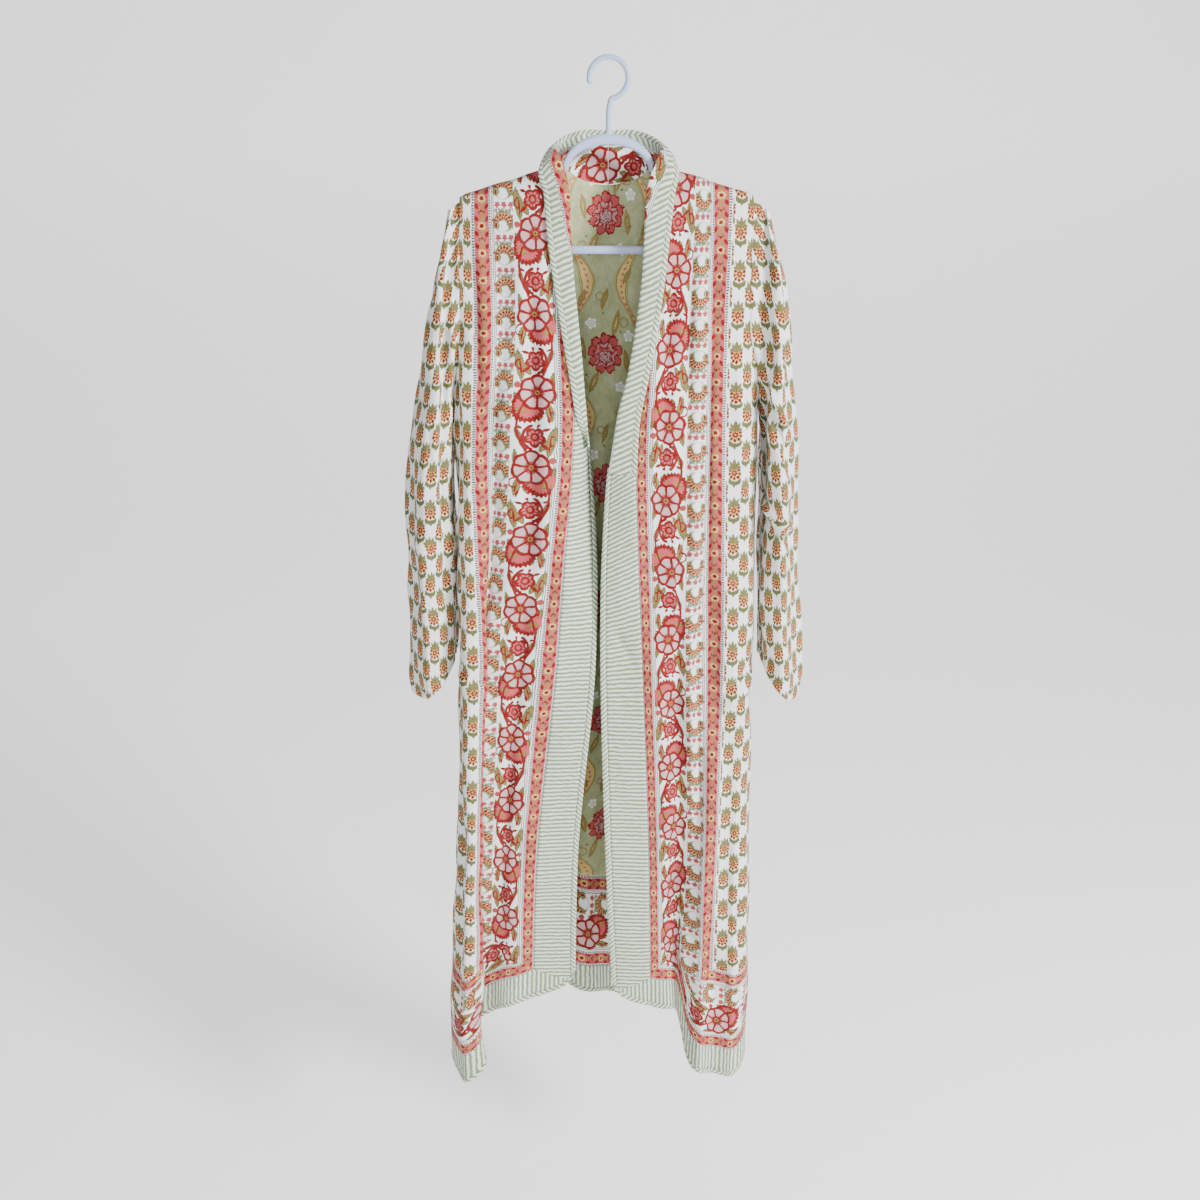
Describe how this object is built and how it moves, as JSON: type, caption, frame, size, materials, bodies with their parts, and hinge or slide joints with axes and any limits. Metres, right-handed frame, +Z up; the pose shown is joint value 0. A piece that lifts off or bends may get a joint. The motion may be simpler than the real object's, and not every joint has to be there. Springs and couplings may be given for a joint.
{
  "type": "long printed cotton robe on hanger",
  "caption": "Full-length open-front cotton robe with long sleeves, striped front bands and turned-back neck band, hanging from a plastic hanger.",
  "frame": {"origin": "where the hanger's hook rests on its rod, at the top of the inside of the hook", "axes": "+Z up, +X to the right of someone facing the front, the garment's front towards -Y"},
  "size_m": [0.5497, 0.1575, 1.4243],
  "materials": {
    "print_cloth": "matt block-printed cotton, flowers and sprigs in rose, red and olive on off-white",
    "stripe_cloth": "matt cotton with fine sage and off-white stripes",
    "lining_cloth": "matt sage cotton printed with peonies and curling stems",
    "white_plastic": "smooth moulded plastic, satin"
  },
  "bodies": {
    "root": {"back": "print_cloth", "back_border_facing": "print_cloth", "back_hem_band": "stripe_cloth", "back_hem_binding": "stripe_cloth", "back_lining": "lining_cloth", "collar_left": "stripe_cloth", "collar_right": "stripe_cloth", "cuff_binding_left": "print_cloth", "cuff_binding_right": "print_cloth", "front_band_left": "stripe_cloth", "front_band_right": "stripe_cloth", "front_binding_left": "stripe_cloth", "front_binding_right": "stripe_cloth", "front_left": "print_cloth", "front_right": "print_cloth", "hanger_arch": "white_plastic", "hanger_arm_left": "white_plastic", "hanger_arm_right": "white_plastic", "hanger_bar": "white_plastic", "hanger_hook": "white_plastic", "hem_band_left": "stripe_cloth", "hem_band_right": "stripe_cloth", "hem_binding_left": "stripe_cloth", "hem_binding_right": "stripe_cloth", "sleeve_left": "print_cloth", "sleeve_right": "print_cloth"}
  },
  "joints": []
}
